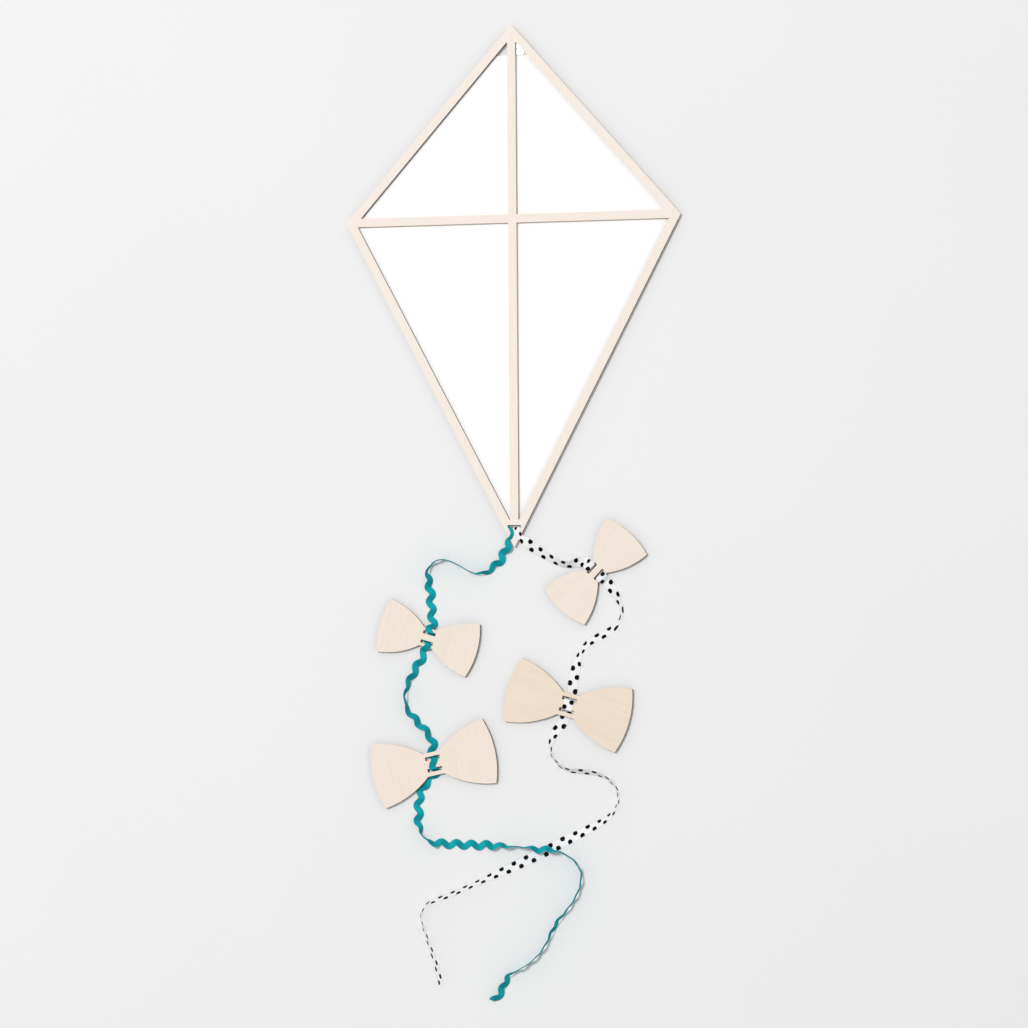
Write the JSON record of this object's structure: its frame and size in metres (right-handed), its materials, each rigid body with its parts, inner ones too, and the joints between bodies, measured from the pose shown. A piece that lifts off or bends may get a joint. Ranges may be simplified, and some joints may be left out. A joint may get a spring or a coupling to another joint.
{
  "type": "kite",
  "caption": "Flat diamond kite ornament: thin wooden frame over a white sail, with two ribbon tails that carry wooden bows.",
  "frame": {"origin": "on the back of the sail, under the crossing of the spine and the spar", "axes": "+Z out of the kite's front, +Y towards the nose, +X to the viewer's right"},
  "size_m": [0.3046, 0.8797, 0.0115],
  "materials": {
    "plywood_frame": "laser-cut birch plywood, unfinished face, scorched edge",
    "plywood_bow": "laser-cut basswood plywood, unfinished face, scorched edge",
    "sail_card": "smooth white card, matt",
    "plate_steel": "zinc-plated sheet steel",
    "nail_steel": "bright wire nail",
    "teal_ricrac": "woven ric-rac braid",
    "dotted_satin": "white satin ribbon with black dots"
  },
  "bodies": {
    "root": {"frame": "plywood_frame", "sail": "sail_card", "hanger_plate": "plate_steel", "hanger_nail_1": "nail_steel", "hanger_nail_2": "nail_steel", "teal_ribbon_head": "teal_ricrac", "teal_ribbon_middle_upper": "teal_ricrac", "teal_ribbon_middle_lower": "teal_ricrac", "teal_ribbon_end": "teal_ricrac", "dotted_ribbon_head": "dotted_satin", "dotted_ribbon_middle_upper": "dotted_satin", "dotted_ribbon_middle_lower": "dotted_satin", "dotted_ribbon_end": "dotted_satin"},
    "weave_teal_upper": {"teal_ribbon_weave_upper": "teal_ricrac"},
    "bow_teal_upper": {"bow_teal_upper": "plywood_bow"},
    "weave_teal_lower": {"teal_ribbon_weave_lower": "teal_ricrac"},
    "bow_teal_lower": {"bow_teal_lower": "plywood_bow"},
    "weave_dotted_upper": {"dotted_ribbon_weave_upper": "dotted_satin"},
    "bow_dotted_upper": {"bow_dotted_upper": "plywood_bow"},
    "weave_dotted_lower": {"dotted_ribbon_weave_lower": "dotted_satin"},
    "bow_dotted_lower": {"bow_dotted_lower": "plywood_bow"}
  },
  "joints": [
    {"name": "slide_teal_upper", "type": "slide", "parent": "root", "child": "weave_teal_upper", "axis": [-0.284, -0.9588, 0], "range_m": [-0.008, 0.008], "deforming": ["teal_ribbon_head", "teal_ribbon_middle_upper"]},
    {"name": "turn_teal_upper", "type": "hinge", "parent": "weave_teal_upper", "child": "bow_teal_upper", "pos_m": [-0.0792, -0.3765, 0.0025], "axis": [0, 0, 1], "range_deg": [-5, 5]},
    {"name": "slide_teal_lower", "type": "slide", "parent": "root", "child": "weave_teal_lower", "axis": [0.2164, -0.9763, 0], "range_m": [-0.008, 0.008], "deforming": ["teal_ribbon_middle_lower", "teal_ribbon_end"]},
    {"name": "turn_teal_lower", "type": "hinge", "parent": "weave_teal_lower", "child": "bow_teal_lower", "pos_m": [-0.0746, -0.4891, 0.0025], "axis": [0, 0, 1], "range_deg": [-8, 8]},
    {"name": "slide_dotted_upper", "type": "slide", "parent": "root", "child": "weave_dotted_upper", "axis": [0.7373, -0.6756, 0], "range_m": [-0.008, 0.008], "deforming": ["dotted_ribbon_head", "dotted_ribbon_middle_upper"]},
    {"name": "turn_dotted_upper", "type": "hinge", "parent": "weave_dotted_upper", "child": "bow_dotted_upper", "pos_m": [0.0729, -0.3189, 0.0025], "axis": [0, 0, 1], "range_deg": [-5, 5]},
    {"name": "slide_dotted_lower", "type": "slide", "parent": "root", "child": "weave_dotted_lower", "axis": [-0.2756, -0.9613, 0], "range_m": [-0.008, 0.008], "deforming": ["dotted_ribbon_middle_lower", "dotted_ribbon_end"]},
    {"name": "turn_dotted_lower", "type": "hinge", "parent": "weave_dotted_lower", "child": "bow_dotted_lower", "pos_m": [0.0473, -0.4376, 0.0025], "axis": [0, 0, 1], "range_deg": [-8, 8]}
  ]
}
